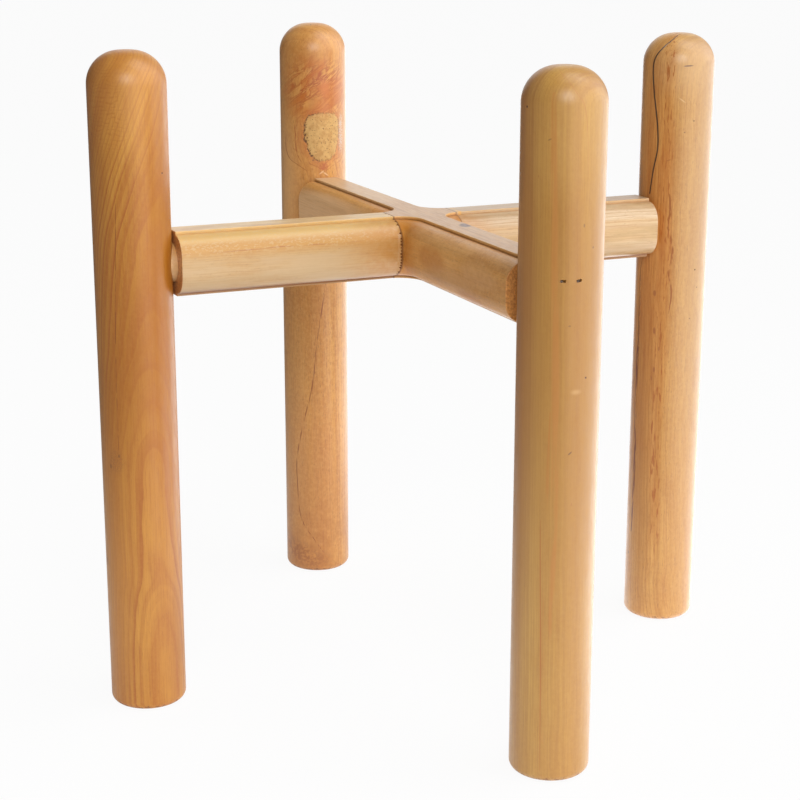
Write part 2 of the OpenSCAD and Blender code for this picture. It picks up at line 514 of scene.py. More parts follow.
def cutBrad(piece, outward, side, size, proud, roll):
    # a slanted slot for one brad of the leg that stands outward of the middle
    plan = legPlan
    sideways = Vector((-outward.y, outward.x, 0))
    slant = math.radians(plan["bradSlant"])
    skin = math.sqrt(plan["radius"] ** 2 - side ** 2)
    mouth = outward * (plan["span"] + skin) + sideways * side + Vector((0, 0, plan["bradHeight"]))
    drive = outward * math.cos(slant) + Vector((0, 0, math.sin(slant)))
    cutWith(piece, boxTool(size, mouth + drive * (proud - size[0] / 2), outward, plan["bradSlant"], roll))


def turnLeg(name, spot):
    plan = legPlan
    radius, height = plan["radius"] * mm, plan["height"] * mm
    pickNone()
    bpy.ops.mesh.primitive_cylinder_add(vertices=plan["sides"], radius=radius, depth=height,
                                        location=(spot[0] * mm, spot[1] * mm, height / 2),
                                        end_fill_type="NGON")
    leg = bpy.context.object
    leg.name = name
    bpy.ops.object.transform_apply(location=True)
    openEdit(leg)
    choose(leg, "edges", lambda edge: liesAt(edge, 2, height))
    bpy.ops.mesh.bevel(offset=plan["crown"] * mm, segments=plan["crownSteps"], affect="EDGES",
                       clamp_overlap=False)
    choose(leg, "edges", lambda edge: liesAt(edge, 2, 0))
    bpy.ops.mesh.bevel(offset=plan["foot"] * mm, segments=plan["footSteps"], affect="EDGES",
                       clamp_overlap=False)
    choose(leg, "edges", lambda edge: edge.calc_length() > height / 2)
    bpy.ops.mesh.subdivide(number_cuts=plan["rings"])
    choose(leg, "faces", lambda face: len(face.verts) > 4)  # the two discs
    bpy.ops.mesh.inset(thickness=plan["discInset"] * mm, use_even_offset=False)
    bpy.ops.mesh.poke()
    closeEdit()

    outward = Vector((spot[0], spot[1], 0)).normalized()
    axis = Vector((spot[0], spot[1], plan["boreHeight"]))
    start, end = -plan["radius"] - 1, plan["boreEnd"]  # 1 mm clear of the skin
    cutWith(leg, roundTool(plan["boreRadius"], end - start, axis + outward * (start + end) / 2,
                           "x" if abs(outward.x) > 0.5 else "y"))
    for side, roll in zip(plan["bradSides"], plan["bradRoll"]):
        cutBrad(leg, outward, side, plan["mouth"], plan["mouth"][0] / 2, roll)
        cutBrad(leg, outward, side, plan["shank"], 0.0, 0.0)
    return leg


span = legPlan["span"]
legSpots = {"left": (-span, 0.0), "right": (span, 0.0), "front": (0.0, -span), "back": (0.0, span)}
faceTurn = {"left": 254.9, "right": 237.9, "front": 241.3, "back": 249.1}  # the side seen in the picture


def legLook(which, **changes):
    spot = legSpots[which]
    look = dict(plainWood, middle=(spot[0], spot[1], 0), turn=(0, 0, faceTurn[which]))
    look.update(changes)
    return look


def legMark(turnBy, height, halfAcross, halfUp, shade, weight=0.8, **more):
    return dict(at=(math.radians(turnBy) * legPlan["radius"], height), half=(halfAcross, halfUp), tone=shade,
                weight=weight, **more)


def skinPoint(which, turnBy, height, sink=0.0):
    # a point on a leg's skin, in mm, turned from the side that the picture shows
    plan = legPlan
    spot = legSpots[which]
    angle = math.radians(faceTurn[which] + turnBy)
    rise = height - (plan["height"] - plan["crown"])
    out, up = plan["radius"] - sink, height
    if rise > 0:
        lean = math.asin(min(1.0, rise / plan["crown"]))
        out = plan["radius"] - plan["crown"] + (plan["crown"] - sink) * math.cos(lean)
        up = plan["height"] - plan["crown"] + (plan["crown"] - sink) * math.sin(lean)
    return Vector((spot[0] + out * math.cos(angle), spot[1] + out * math.sin(angle), up))


def smoothLine(points, steps=4):
    # more points on a smooth line through the given pairs
    line = []
    for k in range(len(points) - 1):
        before = points[max(k - 1, 0)]
        first, second = points[k], points[k + 1]
        after = points[min(k + 2, len(points) - 1)]
        for step in range(steps):
            t = step / steps
            line.append(tuple(0.5 * (2 * q + (r - p) * t + (2 * p - 5 * q + 4 * r - s) * t * t
                                     + (3 * q - p - 3 * r + s) * t ** 3)
                              for p, q, r, s in zip(before, first, second, after)))
    return line + [points[-1]]


def openCrack(leg, which, line, radius, sink):
    places = [skinPoint(which, turnBy, height, sink) for height, turnBy in line]
    plan, count = legPlan, len(places) - 1
    radii = [radius * min(1.0, plan["crackTip"] + plan["crackTaper"] * min(k, count - k) / count)
             * (plan["crackLevel"] + plan["crackSwell"] * mathNoise.noise(place * plan["crackGrain"]))
             for k, place in enumerate(places)]
    cutWith(leg, wireTool(places, radii, False))


def pickPits(leg, which, pits):
    cutTogether(leg, [pitTool(skinPoint(which, turnBy, height), radius, (1, 1, stretch))
                      for turnBy, height, radius, stretch in pits])


def acrossLine(line):
    # (height, turn) points made (height, mm across the skin)
    return [(height, math.radians(turnBy) * legPlan["radius"]) for height, turnBy in line]


def vein(line, width, shade, weight, **more):
    # a line in the wood, from (height, turn) points and (height, half width) points
    return dict(line=acrossLine(smoothLine(line)), width=width, tone=shade, weight=weight, **more)


darkSpot = tone(92, 58, 38)
rust = tone(158, 92, 48)


def wornFoot(kit, look):
    edge = plus(swing(noise(kit["place"], 0.45, 3.0, 0.65), 9.0), 1.2)
    worn = times(remap(minus(kit["along"], edge), 0.6, -0.4), 0.75)
    paint(kit, worn, tone(126, 82, 50))
    kit["rough"] = plus(kit["rough"], times(worn, 0.3))


# the left leg: cathedral grain, a slanted crown and cross ripples below it
def crownRipple(kit, look):
    wander = times(noise(kit["place"], 0.12, 1.0), 18.0)
    rows = calc("SINE", plus(times(kit["along"], 2 * math.pi / look["rippleLength"]), wander))
    where = patch(kit["skin"], look["rippleAt"], look["rippleHalf"], 12, 0.5)
    broken = remap(noise(kit["place"], 0.5, 2.0), 0.4, 0.6)
    amount = times(remap(rows, -0.2, 1.0), where, broken)
    paint(kit, amount, look["line"], 0.30)
    carve(kit, amount, 0.8)


leftLook = legLook(
    "left", coat=0.18, pale=tone(206, 147, 58), warm=tone(184, 120, 38), deep=tone(165, 99, 24),
    line=tone(160, 82, 24), light=tone(208, 150, 68), gap=1.75,
    pith=[(0, 30.2), (30, 30.2), (50, 29.5), (61, 28.7), (72, 27.6), (100, 26.8), (130, 26.5), (150, 25.2),
        (173, 23.4), (193, 21.7), (254, 19.6), (330, 17.5)],
    twist=[(0, 28), (60, 27), (110, 20), (180, 20), (225, 27), (260, 48), (290, 78), (330, 125)],
    wobble=0.5, lineWeight=0.9, faintest=0.45, uneven=0.3, waver=0.9, waverScale=0.035, fine=0.22,
    fibre=0.3, lineFade=[(0, 0.95), (130, 0.9), (200, 1), (235, 1), (275, 0.85), (310, 0.7), (330, 0.7)],
    extras=[crownRipple, wornFoot], rippleAt=(-13, 304), rippleHalf=(11, 20), rippleLength=1.9,
    streaks=[
        vein([(260, -22), (233, -26), (216, -28), (183, -32), (156, -33), (120, -34)],
            [(120, 0), (150, 0.22), (190, 0.32), (235, 0.3), (260, 0)], tone(132, 72, 36), 0.75,
            ragged=0.5)],
    marks=[
        legMark(53, 273, 0.5, 0.5, darkSpot, 0.9, deep=2), legMark(-33, 135, 0.5, 0.8, darkSpot, 0.55),
        legMark(-50, 129, 0.6, 1.2, darkSpot, 0.45),
        legMark(-39, 132, 4.5, 6, tone(150, 96, 52), 0.4, ragged=1.4),
        legMark(-74, 77, 0.9, 2.4, tone(128, 84, 46), 0.6)],
    shades=[
        legMark(-66, 240, 11, 130, tone(150, 88, 34), 0.15, edge=0.7),
        # painted bounce light from the floor on the lower left side
        legMark(-58, 70, 10, 60, tone(216, 156, 84), 0.3, edge=0.7),
        # painted highlight on the crown
        legMark(0, 312, 22, 22, tone(226, 164, 92), 0.2, edge=0.8),
        legMark(50, 222, 10, 90, tone(164, 98, 16), 0.5, edge=0.8),
        legMark(14, 164, 17, 52, tone(164, 94, 14), 0.45, edge=0.8),
        legMark(-52, 230, 13, 110, tone(186, 126, 84), 0.15, edge=0.8),
        legMark(8, 76, 22, 66, tone(190, 114, 58), 0.15, edge=0.8),
        # painted sheen of the varnish on the lower right side
        legMark(52, 70, 11, 76, tone(166, 110, 84), 0.25, edge=0.8)])

# the front leg: pale straight grain and two brad holes
frontLook = legLook(
    "front", pale=tone(198, 152, 72), warm=tone(180, 128, 56), deep=tone(169, 115, 45),
    line=tone(153, 94, 34), light=tone(204, 161, 82), gap=2.3, pith=[(0, 55), (330, 57)],
    twist=[(0, 60), (330, 52)], lineWeight=0.8, wobble=0.8, faintest=0.1, waver=0.6, pores=0.2, fibre=0.26,
    fine=0.32, lineFade=[(0, 0.5), (120, 0.6), (220, 0.85), (330, 0.85)], uneven=1.6, extras=[wornFoot],
    streaks=[
        vein([(320, -14), (272, -10), (230, -6), (184, -2), (130, 0), (60, -3)],
            [(60, 1), (140, 2.2), (200, 2.4), (270, 2.2), (320, 0.8)], tone(190, 124, 58), 0.6, ragged=0.3,
            run=0.06),
        vein([(130, -19), (109, -18), (70, -15), (30, -13), (6, -12)],
            [(6, 0.1), (30, 0.3), (70, 0.45), (110, 0.35), (130, 0)], tone(176, 104, 44), 0.85),
        vein([(180, -9), (140, -11), (100, -12), (60, -11), (20, -9)],
            [(20, 0.6), (60, 1.4), (120, 1.2), (180, 0.3)], tone(186, 116, 50), 0.55, ragged=0.3, run=0.06),
        vein([(329, -18), (326, 0), (324, 7), (319, 18), (314, 27), (300, 33), (270, 36)],
            [(270, 0), (300, 0.2), (320, 0.35), (329, 0.3)], tone(186, 124, 66), 0.6)],
    marks=[
        legMark(-57, 313, 0.55, 0.55, darkSpot, 0.9, deep=2),
        legMark(-18, 300, 0.9, 0.3, darkSpot, 0.45, tilt=25), legMark(31, 263, 0.4, 0.8, darkSpot, 0.5),
        legMark(47, 253, 0.5, 0.5, darkSpot, 0.5), legMark(14, 219, 0.6, 0.4, darkSpot, 0.4),
        legMark(40, 195, 0.5, 0.5, darkSpot, 0.8, deep=2),
        legMark(19, 161, 1.1, 0.35, darkSpot, 0.7, tilt=40), legMark(23, 137, 0.3, 0.8, rust, 0.4),
        legMark(25, 189, 2, 1, tone(226, 186, 128), 0.3, edge=0.8), legMark(-33, 284, 0.3, 0.6, rust, 0.4)],
    shades=[
        legMark(0, 190, 80, 85, tone(170, 118, 50), 0.45, edge=0.6),
        legMark(4, 96, 26, 140, tone(218, 180, 104), 0.09, edge=0.8),
        # painted highlight on the crown
        legMark(4, 308, 18, 26, tone(232, 186, 112), 0.2, edge=0.8),
        legMark(-66, 240, 11, 130, tone(158, 98, 60), 0.45, edge=0.7),
        legMark(-50, 90, 12, 110, tone(186, 138, 82), 0.2, edge=0.8),
        legMark(46, 170, 9, 100, tone(154, 100, 28), 0.4, edge=0.8)])


# the right leg: rust dashes, a brown figure and a crack
def rustDashes(kit, look):
    drift = swing(noise(kit["place"], 0.04, 1.0), 7.0)
    off = apart(kit["across"], plus(drift, look["dashAt"]))
    zone = times(remap(off, look["dashHalf"], look["dashHalf"] * 0.4), remap(kit["along"], 25.0, 60.0))
    dashes = remap(noise(kit["place"], 0.85, 2.0, 0.6, (1, 1, 0.13)), 0.55, 0.64)
    paint(kit, times(zone, dashes), tone(156, 80, 24), 0.85)
    paint(kit, zone, tone(206, 134, 62), 0.2)


def brownFigure(kit, look):
    zone = patch(kit["skin"], look["figureAt"], look["figureHalf"], 0, 0.55)
    lines = remap(noise(kit["place"], 0.75, 3.0, 0.65, (1, 1, 0.04)), 0.46, 0.62)
    paint(kit, times(zone, lines), tone(160, 92, 36), 0.6)
    paint(kit, zone, tone(192, 122, 54), 0.25)


crackUpper = smoothLine([(329.5, 5), (328.8, -10), (322, -34), (314, -44), (301, -41), (288, -34), (278, -30),
                         (269, -30), (257, -37), (245, -42)])
crackLower = smoothLine([(209, -55), (195, -60), (172, -59), (154, -57), (138, -56), (122, -57)])
rightLook = legLook(
    "right", pale=tone(231, 180, 100), warm=tone(197, 142, 69), deep=tone(185, 126, 54),
    line=tone(172, 106, 43), light=tone(237, 194, 119), gap=2, pith=[(0, 24), (160, 27), (330, 25)],
    twist=[(0, 75), (330, 60)], lineWeight=0.6, wobble=1.8, faintest=0.15, waver=3, waverScale=0.045,
    pores=0.55, fleck=0.3, fibre=0.34, cloud=0.55, fine=0.32, figureAt=(-10, 200), figureHalf=(10.5, 85),
    dashAt=-4, dashHalf=4.5, extras=[brownFigure, rustDashes, wornFoot],
    streaks=[
        dict(line=acrossLine(crackUpper), width=[(245, 0.62), (330, 0.75)], tone=tone(58, 42, 30),
            weight=0.96),
        dict(line=acrossLine(crackLower),
            width=[(122, 0), (140, 0.25), (160, 0.4), (180, 0.3), (209, 0.3)], tone=tone(88, 62, 44),
            weight=0.85),
        vein([(200, -57), (172, -56), (150, -55)], [(150, 0.2), (165, 0.9), (180, 0.9), (200, 0.1)],
            tone(120, 74, 46), 0.6, ragged=0.9, run=0.5),
        vein([(168, -60), (140, -60), (118, -58), (98, -56), (78, -56), (50, -59)],
            [(50, 0.4), (75, 1.5), (120, 1.7), (150, 1.2), (168, 0.3)], tone(112, 52, 24), 0.95,
            ragged=0.6, run=0.12),
        vein([(246, -6), (236, -4), (229, -7), (217, 2), (208, 0), (203, -3), (192, 3), (180, 0)],
            [(180, 0.1), (200, 0.8), (225, 0.9), (246, 0.3)], tone(150, 82, 30), 0.85, ragged=0.5),
        vein([(112, -14), (100, -12), (90, -15), (78, -11), (66, -14), (52, -11)],
            [(52, 0.1), (70, 0.6), (95, 0.6), (112, 0.1)], tone(180, 112, 52), 0.55, ragged=0.5)],
    marks=[
        legMark(16, 314, 2.5, 0.35, tone(110, 84, 70), 0.85, tilt=4, deep=1.5),
        legMark(8, 296, 2, 0.25, tone(238, 206, 160), 0.5, tilt=-35),
        legMark(29, 285, 0.5, 0.4, darkSpot, 0.7), legMark(14, 279, 0.4, 0.4, darkSpot, 0.6),
        legMark(-10, 264, 1.3, 0.4, rust, 0.6, tilt=20), legMark(44, 204, 0.5, 0.5, darkSpot, 0.8),
        legMark(50, 194, 0.4, 0.4, darkSpot, 0.6), legMark(37, 177, 0.4, 0.4, darkSpot, 0.6),
        legMark(-25, 191, 0.9, 1.6, rust, 0.75), legMark(-23, 170, 0.8, 1.8, rust, 0.75),
        legMark(-14, 160, 0.5, 1.2, rust, 0.6), legMark(-21, 148, 0.7, 1.5, rust, 0.7),
        legMark(-25, 143, 0.5, 1.2, rust, 0.6), legMark(-65, 37, 0.6, 0.9, darkSpot, 0.6),
        legMark(-16, 262, 3, 12, tone(190, 118, 52), 0.45, ragged=0.3)],
    shades=[
        legMark(-50, 120, 12, 80, tone(162, 96, 38), 0.5, edge=0.8),
        legMark(-36, 262, 10, 66, tone(182, 106, 48), 0.4, edge=0.8),
        # painted sheen of the varnish along the right side
        legMark(52, 220, 13, 160, tone(186, 156, 118), 0.45, edge=0.8),
        legMark(8, 62, 34, 60, tone(176, 120, 60), 0.25, edge=0.8),
        # painted highlight on the crown
        legMark(8, 314, 13, 13, tone(240, 204, 156), 0.25, edge=0.8)])


# the back leg: a knot, swirls and a filled hollow under its crown
def filledHollow(kit, look):
    wander = stray(kit["place"], 0.45, 3.0, 3.4)
    shape = centred(vecCalc("ADD", kit["skin"], wander), (*look["hollowAt"], 0), (*look["hollowHalf"], 1))
    x, y = addNode("SeparateXYZ", {0: shape}).outputs[0:2]
    below = calc("MAXIMUM", times(y, -1.0), 0.0)
    spread = times(x, plus(1.0, times(below, 0.45)))  # narrower below
    square = look["hollowSquare"]
    rim = plus(calc("POWER", calc("ABSOLUTE", spread), square), calc("POWER", calc("ABSOLUTE", y), square))
    rim = calc("POWER", rim, 1 / square)
    inside = remap(rim, 1.02, 0.97)
    cloud = remap(noise(kit["place"], 0.35, 3.0, 0.65), 0.38, 0.66)
    putty = blendTone(times(cloud, 0.75), tone(214, 172, 106), tone(188, 138, 74))
    putty = blendTone(remap(noise(kit["place"], 1.2, 2.0), 0.62, 0.7), putty, tone(128, 82, 40))
    paint(kit, inside, putty)
    broken = remap(noise(kit["place"], 0.8, 2.0, 0.6), 0.46, 0.56)
    leftSide = remap(spread, 0.1, -0.5)
    lip = calc("MAXIMUM", times(leftSide, plus(broken, 0.3)), times(broken, 0.45))
    lip = times(remap(apart(rim, 1.0), 0.07, 0.02), lip)
    paint(kit, lip, tone(104, 66, 36), 0.8)
    carve(kit, lip, 2.5)
    kit["rough"] = plus(kit["rough"], times(inside, 0.15))


def knotSwirl(kit, look):
    # slanting flames above the hollow
    turned = addNode("Mapping", {"Vector": kit["skin"], "Rotation": (0, 0, math.radians(-32))}).outputs[0]
    flow = noise(turned, 0.22, 3.0, 0.6, (0.32, 1.3, 1), 0.9)
    broad = noise(turned, 0.11, 2.0, 0.5, (0.4, 1.2, 1), 0.6)
    where = patch(kit["skin"], look["swirlAt"], look["swirlHalf"], 0, 0.5)
    for level, shade, weight in ((remap(apart(flow, 0.5), 0.075, 0.01), tone(170, 84, 40), 0.9),
                                 (remap(broad, 0.42, 0.58), tone(194, 112, 46), 0.7),
                                 (remap(flow, 0.5, 0.66), tone(188, 98, 40), 0.7),
                                 (remap(flow, 0.46, 0.34), tone(222, 156, 84), 0.2)):
        paint(kit, times(where, level), shade, weight)
    # rings that close round the hollow
    far = vecCalc("LENGTH", centred(kit["skin"], (*look["hollowAt"], 0), (*look["hollowHalf"], 1)))
    far = plus(far, swing(noise(kit["place"], 0.1, 2.0), 0.9))
    wave = calc("SINE", times(calc("POWER", far, 0.8), 2 * math.pi / look["swirlGap"]))
    near = times(remap(far, 1.0, 1.1), remap(far, 2.1, 1.3))
    broken = remap(noise(kit["place"], 0.25, 2.0), 0.42, 0.62)
    paint(kit, times(remap(wave, 0.3, 1.0), near, broken), tone(176, 96, 50), 0.6)
    paint(kit, remap(far, 1.55, 1.0), tone(196, 112, 62), 0.35)


backLook = legLook(
    "back", pale=tone(224, 166, 89), warm=tone(201, 138, 67), deep=tone(188, 124, 55),
    line=tone(173, 100, 45), light=tone(230, 179, 106), gap=2.6, pith=[(0, 40), (330, 34)],
    twist=[(0, -40), (330, -30)], lineWeight=0.5, wobble=1.6, faintest=0.1, waver=2.4, waverScale=0.04,
    pores=0.6, mottle=0.3, fleck=0.25, fine=0.2, fibre=0.32, hollowAt=(5.7, 266.5), hollowHalf=(11, 13.6),
    swirlAt=(3, 294), swirlHalf=(19, 16), extras=[knotSwirl, filledHollow, wornFoot],
    knots=[dict(at=(5.7, 270), half=(15, 30), push=-7)], hollowSquare=3.6, swirlGap=0.17,
    streaks=[
        vein([(285, -30), (275, -35), (268, -33), (258, -31), (252, -22)],
            [(252, 0.2), (262, 0.55), (275, 0.55), (285, 0.1)], tone(168, 88, 42), 0.85, ragged=0.6),
        vein([(268, -56), (260, -57), (254, -48), (250, -27), (247, -12)],
            [(247, 0.2), (254, 0.5), (268, 0.2)], tone(158, 86, 42), 0.8),
        vein([(208, 26), (176, 17), (147, 3), (118, -7), (94, -25), (72, -39), (56, -39), (35, -32),
             (21, -6), (12, 12)], [(12, 0.1), (35, 0.5), (90, 0.55), (176, 0.5), (208, 0.3)],
            tone(148, 82, 38), 0.9, ragged=1, run=0.06)],
    marks=[
        legMark(21, 294, 2.6, 4.2, tone(208, 124, 66), 0.6, edge=0.6),
        legMark(-6, 289, 3, 0.7, tone(160, 92, 50), 0.6, tilt=-25, ragged=1),
        legMark(10, 300, 5, 0.8, tone(188, 104, 60), 0.5, tilt=-30, ragged=0.8),
        legMark(18, 249, 2.8, 2, tone(184, 92, 58), 0.75, edge=0.5, ragged=0.8),
        legMark(14, 246, 1.6, 0.4, tone(240, 204, 160), 0.7, tilt=35),
        legMark(22, 245, 1.8, 0.4, tone(240, 204, 160), 0.7, tilt=-35),
        legMark(57, 268, 2.1, 10.5, tone(206, 184, 162), 0.9, ragged=1.1),
        legMark(50, 268, 0.7, 11, tone(150, 110, 78), 0.7, ragged=0.6),
        legMark(-6, 329.4, 0.9, 0.25, darkSpot, 0.7), legMark(-74, 313, 0.6, 0.6, darkSpot, 0.5),
        legMark(6, 285, 16, 8, tone(196, 116, 34), 0.22, edge=0.8),
        legMark(-30, 11, 16, 7, tone(150, 86, 40), 0.7, ragged=0.5, edge=0.7, tilt=-18)],
    shades=[
        legMark(0, 8, 80, 34, tone(172, 108, 48), 0.42, edge=0.7, ragged=0.12),
        legMark(10, 316, 30, 14, tone(204, 136, 68), 0.25, edge=0.8),
        legMark(0, 52, 34, 44, tone(172, 108, 64), 0.25, edge=0.8),
        # these two: painted light on the left side of the leg, near the hub and lower down
        legMark(-62, 236, 10, 34, tone(236, 190, 132), 0.4, edge=0.8),
        legMark(-44, 96, 12, 62, tone(236, 190, 128), 0.13, edge=0.8)])

pitLists = {  # turn, height, radius and stretch along the leg of each pit
    "left": [(53, 273, 0.32, 1.0)],
    "front": [(-57, 313, 0.35, 1.0), (40, 195, 0.3, 1.0)],
    "right": [(29, 285, 0.25, 1.0), (44, 204, 0.3, 1.0)],
    "back": [(-17, 277, 0.45, 1.5), (-18, 273.5, 0.4, 1.2), (-17, 270, 0.5, 1.3), (-15.5, 266, 0.4, 1.4),
             (-13.5, 262.5, 0.45, 1.3), (-10.5, 259, 0.4, 1.2), (-5, 256, 0.35, 1.0), (37, 277, 0.32, 1.0),
             (29, 259, 0.34, 1.0), (40, 271, 0.2, 1.0), (12, 262, 0.2, 1.0)],
}
legLooks = {"left": leftLook, "right": rightLook, "front": frontLook, "back": backLook}
legs = {}
for which, spot in legSpots.items():
    legs[which] = turnLeg("leg" + which.capitalize(), spot)
    pickPits(legs[which], which, pitLists[which])
    print("leg", which, "turned,", len(legs[which].data.polygons), "faces")
openCrack(legs["right"], "right", crackUpper, radius=0.42, sink=0.1)
openCrack(legs["right"], "right", crackLower, radius=0.2, sink=0.08)
for which, leg in legs.items():
    finish(leg, "leg_" + which,
           woodSkin("legWood" + which.capitalize(), legLooks[which]), legPlan["smoothAngle"])
print("legs finished")


# cross

crossPlan = {
    "middle": 227.0, "halfHeight": 16.0, "flatHalf": 7.0, "quirk": 1.6, "roundover": 10.0,
    "topEase": 0.35, "corner": 20.0, "shoulder": 133.0, "seam": 17.5,
    "arcSteps": 11, "easeSteps": 3, "spinSteps": 22, "lengthCuts": 10,
    "tenonRadius": 10.0, "tenonLength": 24.0, "tenonBevel": 1.5,
    "dowelRadius": 4.1, "dowelHalf": 40.8, "dowelHeights": (220.0, 234.0),
    "tenonSink": 6.0, "tenonSides": 72, "dowelSides": 40, "endEase": 0.3, "smoothAngle": 12,
    "seamSpacing": 0.85, "seamLeast": 0.09, "seamGrain": 0.9,
    "chipRadius": 0.84, "chipScale": (1.25, 0.72, 0.68), "chipSpacing": 0.4, "chipGap": 1.25,
    "chipShift": 0.45, "chipFrom": (-0.45, 0.25), "chipGrain": 2.3, "chipSeed": (7, 3, 1),
    "chipHeights": (218.5, 234.5), "chipFront": -16,
}


def routedSection():
    # (out, up) points in mm of one side of the rail, from the top flat to the bottom flat
    plan = crossPlan
    half, flatHalf, ease = plan["halfHeight"], plan["flatHalf"], plan["topEase"]
    upper = []
    for step in range(plan["easeSteps"] + 1):
        angle = math.pi / 2 * (1 - step / plan["easeSteps"])
        upper.append((flatHalf - ease + ease * math.cos(angle), half - ease + ease * math.sin(angle)))
    arcMiddle = half - plan["quirk"] - plan["roundover"]
    for step in range(plan["arcSteps"] + 1):
        angle = math.pi / 2 * (1 - step / plan["arcSteps"])
        upper.append((flatHalf + plan["roundover"] * math.cos(angle),
                      arcMiddle + plan["roundover"] * math.sin(angle)))
    lower = [(out, -up) for out, up in reversed(upper)]
    return upper + [(upper[-1][0], 0.0)] + lower


def routeCross():
    plan = crossPlan
    corner = plan["corner"] * mm
    inner = corner - mm / 2  # leaves out the other end of the spin
    points = [Vector((corner, out * mm, (plan["middle"] + up) * mm)) for out, up in routedSection()]
    pickNone()
    bpy.ops.mesh.primitive_plane_add(size=0.01, location=points[0])
    cross = bpy.context.object
    cross.name = "cross"
    bpy.ops.object.transform_apply(location=True)
    openEdit(cross)
    choose(cross, "verts", lambda vert: True)
    bpy.ops.mesh.merge(type="CENTER")
    for first, second in zip(points, points[1:]):
        bpy.ops.mesh.extrude_region_move(TRANSFORM_OT_translate={"value": second - first})
    choose(cross, "edges", lambda edge: True)
    bpy.ops.mesh.spin(steps=plan["spinSteps"], angle=math.pi / 2, axis=(0, 0, 1),
                      center=(corner, corner, 0))
    reach = (plan["shoulder"] - plan["corner"]) * mm
    for axis, way in ((0, (reach, 0, 0)), (1, (0, reach, 0))):
        choose(cross, "edges", lambda edge: liesAt(edge, axis, corner)
               and all(v.co[1 - axis] < inner for v in edge.verts))
        bpy.ops.mesh.extrude_region_move(TRANSFORM_OT_translate={"value": way})
    choose(cross, "edges", lambda edge: edge.calc_length() > reach - slack)
    bpy.ops.mesh.subdivide(number_cuts=plan["lengthCuts"])
    closeEdit()

    mirror = cross.modifiers.new("mirror", "MIRROR")
    mirror.use_axis = (True, True, False)
    mirror.merge_threshold = slack
    pickOnly(cross)
    bpy.ops.object.modifier_apply(modifier=mirror.name)

    openEdit(cross)
    far = plan["shoulder"] * mm
    flatEdge = (plan["flatHalf"] - plan["topEase"]) * mm
    ends = ((0, far), (0, -far), (1, far), (1, -far))  # axis and place of each shoulder
    for level in (plan["middle"] + plan["halfHeight"], plan["middle"] - plan["halfHeight"]):
        for axis, place in ends:
            choose(cross, "verts", lambda vert: abs(vert.co.z - level * mm) < slack
                   and abs(vert.co[axis] - place) < slack
                   and abs(abs(vert.co[1 - axis]) - flatEdge) < slack)
            bpy.ops.mesh.edge_face_add()
        choose(cross, "edges", lambda edge: len(edge.link_faces) < 2 and liesAt(edge, 2, level * mm))
        bpy.ops.mesh.edge_face_add()
    for axis, place in ends:
        choose(cross, "edges", lambda edge: len(edge.link_faces) < 2 and liesAt(edge, axis, place))
        bpy.ops.mesh.edge_face_add()
    bpy.ops.mesh.select_all(action="SELECT")
    bpy.ops.mesh.remove_doubles(threshold=slack / 10)
    bpy.ops.mesh.normals_make_consistent(inside=False)
    choose(cross, "edges", lambda edge: any(liesAt(edge, axis, place) for axis, place in ends))
    bpy.ops.mesh.bevel(offset=plan["endEase"] * mm, segments=2, affect="EDGES", clamp_overlap=False)
    closeEdit()
    return cross


def cleave(cross, name, planes):
    # a copy of the cross, cut off at planes given as (x in mm, kept side)
    pickOnly(cross)
    bpy.ops.object.duplicate()
    part = bpy.context.object
    part.name = name
    for x, keep in planes:
        openEdit(part)
        bpy.ops.mesh.select_all(action="SELECT")
        bpy.ops.mesh.bisect(plane_co=(x * mm, 0, 0), plane_no=(1, 0, 0), use_fill=True,
                            clear_inner=keep > 0, clear_outer=keep < 0, threshold=slack / 10)
        closeEdit()
    return part


def addTenon(part, axis, side):
    plan = crossPlan
    sink = plan["tenonSink"]  # how far the tenon reaches into the rail, for a sound join
    length = plan["tenonLength"] + sink
    middle = Vector((0, 0, plan["middle"]))
    middle[axis] = side * (plan["shoulder"] - sink + length / 2)
    tenon = roundTool(plan["tenonRadius"], length, middle, "xy"[axis], plan["tenonSides"])
    bpy.ops.object.transform_apply(location=True, rotation=True, scale=True)
    openEdit(tenon)
    end = (plan["shoulder"] + plan["tenonLength"]) * mm
    choose(tenon, "edges", lambda edge: liesAt(edge, axis, side * end))
    bpy.ops.mesh.bevel(offset=plan["tenonBevel"] * mm, segments=1, affect="EDGES")
    closeEdit()
    cutWith(part, tenon, "UNION")
    outward = Vector((0, 0, 0))
    outward[axis] = side
    for brad in legPlan["bradSides"]:
        cutBrad(part, outward, brad, legPlan["shank"], 0.0, 0.0)


def boreDowels(part):
    plan = crossPlan
    for height in plan["dowelHeights"]:
        cutWith(part, roundTool(plan["dowelRadius"], 2 * plan["dowelHalf"], (0, 0, height), "x",
                                plan["dowelSides"]))


def seamLine(x, spacing):
    # the outline of the cut at x, as one closed line of points in mm
    plan = crossPlan
    oneSide = []
    for out, up in routedSection():
        reach = plan["corner"] - out
        gap = plan["corner"] - abs(x)
        oneSide.append(Vector((x, plan["corner"] - math.sqrt(reach ** 2 - gap ** 2), plan["middle"] + up)))
    otherSide = [Vector((spot.x, -spot.y, spot.z)) for spot in reversed(oneSide)]
    corners = oneSide + otherSide + [oneSide[0]]
    line = []
    for first, second in zip(corners, corners[1:]):
        steps = max(1, round((second - first).length / spacing))
        line += [first.lerp(second, step / steps) for step in range(steps)]
    return line


def ragged(place, most):
    # a radius that wanders along the glue line
    least = crossPlan["seamLeast"]
    level = mathNoise.noise(place * crossPlan["seamGrain"]) * 0.5 + 0.5
    return least + (most - least) * max(0.0, min(1.0, level)) ** 2


def openSeam(part, x, most):
    line = seamLine(x, crossPlan["seamSpacing"])
    cutWith(part, wireTool(line, [ragged(place, most) for place in line], True))


